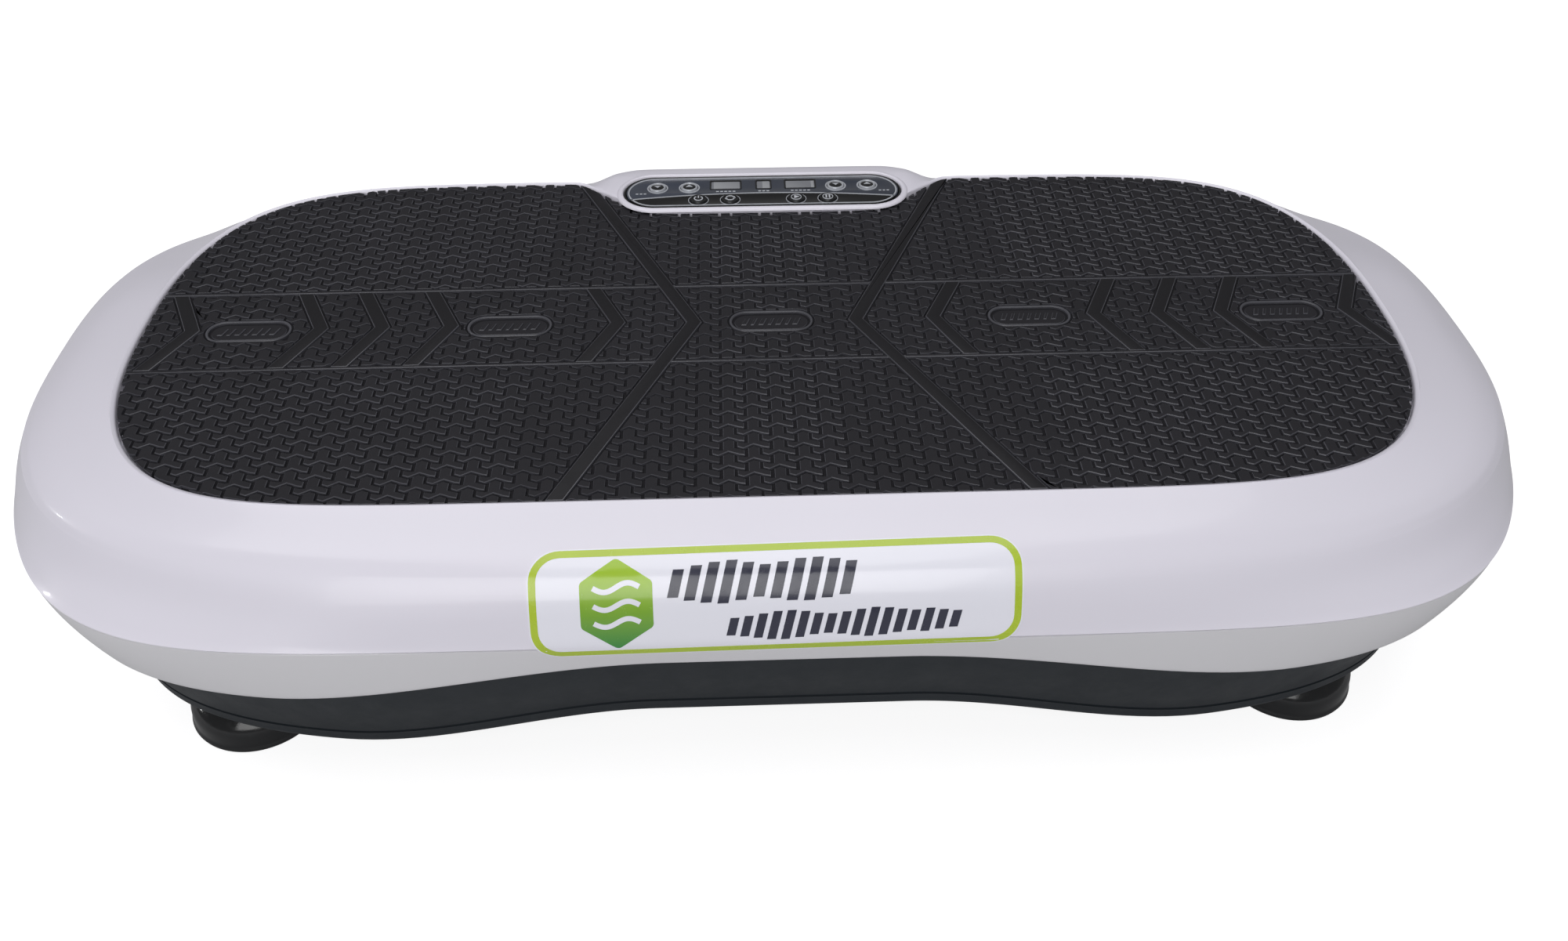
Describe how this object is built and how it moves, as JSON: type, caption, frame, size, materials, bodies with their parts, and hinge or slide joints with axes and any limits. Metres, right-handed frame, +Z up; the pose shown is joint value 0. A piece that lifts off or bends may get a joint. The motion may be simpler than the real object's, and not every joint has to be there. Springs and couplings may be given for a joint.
{
  "type": "vibration plate",
  "caption": "Low oscillating exercise platform with a rubber standing mat on a rocking white housing, a rear control console, and a dark base on suction feet.",
  "frame": {"origin": "centre of the footprint, on the floor under the suction feet", "axes": "+X to the user's right along the length, -Y to the labelled front, +Z up"},
  "size_m": [0.664, 0.3359, 0.1392],
  "materials": {
    "housing_white": "gloss white moulding",
    "housing_white_lower": "gloss white moulding, lower half",
    "base_charcoal": "fine-grained charcoal moulding",
    "mat_rubber": "black rubber with a raised tread",
    "foot_rubber": "glossy black suction cups",
    "buffer_rubber": "matt black rubber",
    "cable_black": "black cable sheath",
    "steel_zinc": "ground steel",
    "steel_painted": "dark powder coat",
    "bronze": "sintered bronze",
    "aluminium": "machined aluminium",
    "belt_black": "ribbed belt",
    "black_plastic": "black moulding",
    "grey_plastic": "grey moulding",
    "panel_slate": "gloss membrane overlay",
    "display_grey": "grey display window",
    "key_chrome": "chrome-ringed key",
    "board_green": "circuit board",
    "copper_winding": "lacquered copper winding",
    "label_white": "printed film label with a lime border"
  },
  "bodies": {
    "base": {"base_tray": "base_charcoal", "chassis_plate": "steel_painted", "pivot_bracket_front": "steel_painted", "pivot_bracket_rear": "steel_painted", "pivot_axle": "steel_zinc", "bearing_block_front": "aluminium", "bearing_block_rear": "aluminium", "motor_can": "steel_painted", "motor_end_cap": "aluminium", "motor_cradle": "steel_painted", "drive_belt": "belt_black", "board_carrier": "grey_plastic", "power_board": "board_green", "heat_sink": "aluminium", "transformer": "copper_winding", "capacitor": "black_plastic", "motor_lead": "cable_black", "inlet_panel": "black_plastic", "mains_socket": "black_plastic", "switch_frame": "black_plastic", "foot_front_left": "foot_rubber", "foot_front_right": "foot_rubber", "foot_rear_left": "foot_rubber", "foot_rear_right": "foot_rubber", "buffer_front_left": "buffer_rubber", "buffer_front_right": "buffer_rubber", "buffer_rear_left": "buffer_rubber", "buffer_rear_right": "buffer_rubber"},
    "platform": {"top_shell": "housing_white", "skirt_shell": "housing_white_lower", "rubber_mat": "mat_rubber", "deck_plate": "grey_plastic", "rocker_frame": "steel_painted", "pivot_tube": "steel_zinc", "pivot_bush_front": "bronze", "pivot_bush_rear": "bronze", "drive_yoke": "steel_painted", "wrist_pin": "steel_zinc", "console_bezel": "black_plastic", "control_panel": "panel_slate", "time_display": "display_grey", "mode_display": "display_grey", "speed_display": "display_grey", "console_pcb": "board_green", "front_label": "label_white"},
    "rotor": {"motor_rotor": "copper_winding", "motor_pulley": "aluminium"},
    "crank": {"crank_shaft": "steel_zinc", "crank_pulley": "aluminium"},
    "rod": {"connecting_rod": "aluminium"},
    "key_time_down_body": {"key_time_down": "key_chrome"},
    "key_time_up_body": {"key_time_up": "key_chrome"},
    "key_speed_down_body": {"key_speed_down": "key_chrome"},
    "key_speed_up_body": {"key_speed_up": "key_chrome"},
    "key_power_body": {"key_power": "key_chrome"},
    "key_mode_body": {"key_mode": "key_chrome"},
    "key_start_body": {"key_start": "key_chrome"},
    "key_pause_body": {"key_pause": "key_chrome"},
    "power_switch": {"switch_rocker": "grey_plastic"}
  },
  "joints": [
    {"name": "platform_rock", "type": "hinge", "parent": "base", "child": "platform", "pos_m": [0, 0, 0.083], "axis": [0, 1, 0], "range_deg": [-1, 1]},
    {"name": "motor_spin", "type": "hinge", "parent": "base", "child": "rotor", "pos_m": [0.185, 0, 0.0805], "axis": [0, 1, 0], "continuous": true},
    {"name": "crank_spin", "type": "hinge", "parent": "base", "child": "crank", "pos_m": [0.1, 0, 0.072], "axis": [0, 1, 0], "continuous": true},
    {"name": "rod_pivot", "type": "hinge", "parent": "crank", "child": "rod", "pos_m": [0.10175, 0, 0.072], "axis": [0, 1, 0], "continuous": true},
    {"name": "press_time_down", "type": "slide", "parent": "platform", "child": "key_time_down_body", "axis": [0, 0, -1], "range_m": [0, 0.0005], "stiffness_N_per_m": 400},
    {"name": "press_time_up", "type": "slide", "parent": "platform", "child": "key_time_up_body", "axis": [0, 0, -1], "range_m": [0, 0.0005], "stiffness_N_per_m": 400},
    {"name": "press_speed_down", "type": "slide", "parent": "platform", "child": "key_speed_down_body", "axis": [0, 0, -1], "range_m": [0, 0.0005], "stiffness_N_per_m": 400},
    {"name": "press_speed_up", "type": "slide", "parent": "platform", "child": "key_speed_up_body", "axis": [0, 0, -1], "range_m": [0, 0.0005], "stiffness_N_per_m": 400},
    {"name": "press_power", "type": "slide", "parent": "platform", "child": "key_power_body", "axis": [0, 0, -1], "range_m": [0, 0.0005], "stiffness_N_per_m": 400},
    {"name": "press_mode", "type": "slide", "parent": "platform", "child": "key_mode_body", "axis": [0, 0, -1], "range_m": [0, 0.0005], "stiffness_N_per_m": 400},
    {"name": "press_start", "type": "slide", "parent": "platform", "child": "key_start_body", "axis": [0, 0, -1], "range_m": [0, 0.0005], "stiffness_N_per_m": 400},
    {"name": "press_pause", "type": "slide", "parent": "platform", "child": "key_pause_body", "axis": [0, 0, -1], "range_m": [0, 0.0005], "stiffness_N_per_m": 400},
    {"name": "power_switch_tilt", "type": "hinge", "parent": "base", "child": "power_switch", "pos_m": [-0.1485, 0.141, 0.051], "axis": [1, 0, 0], "range_deg": [0, 16]}
  ],
  "couplings": [
    {"joint": "crank_spin", "follows": "motor_spin", "ratio": 0.33333},
    {"joint": "rod_pivot", "follows": "motor_spin", "ratio": -0.33333}
  ]
}
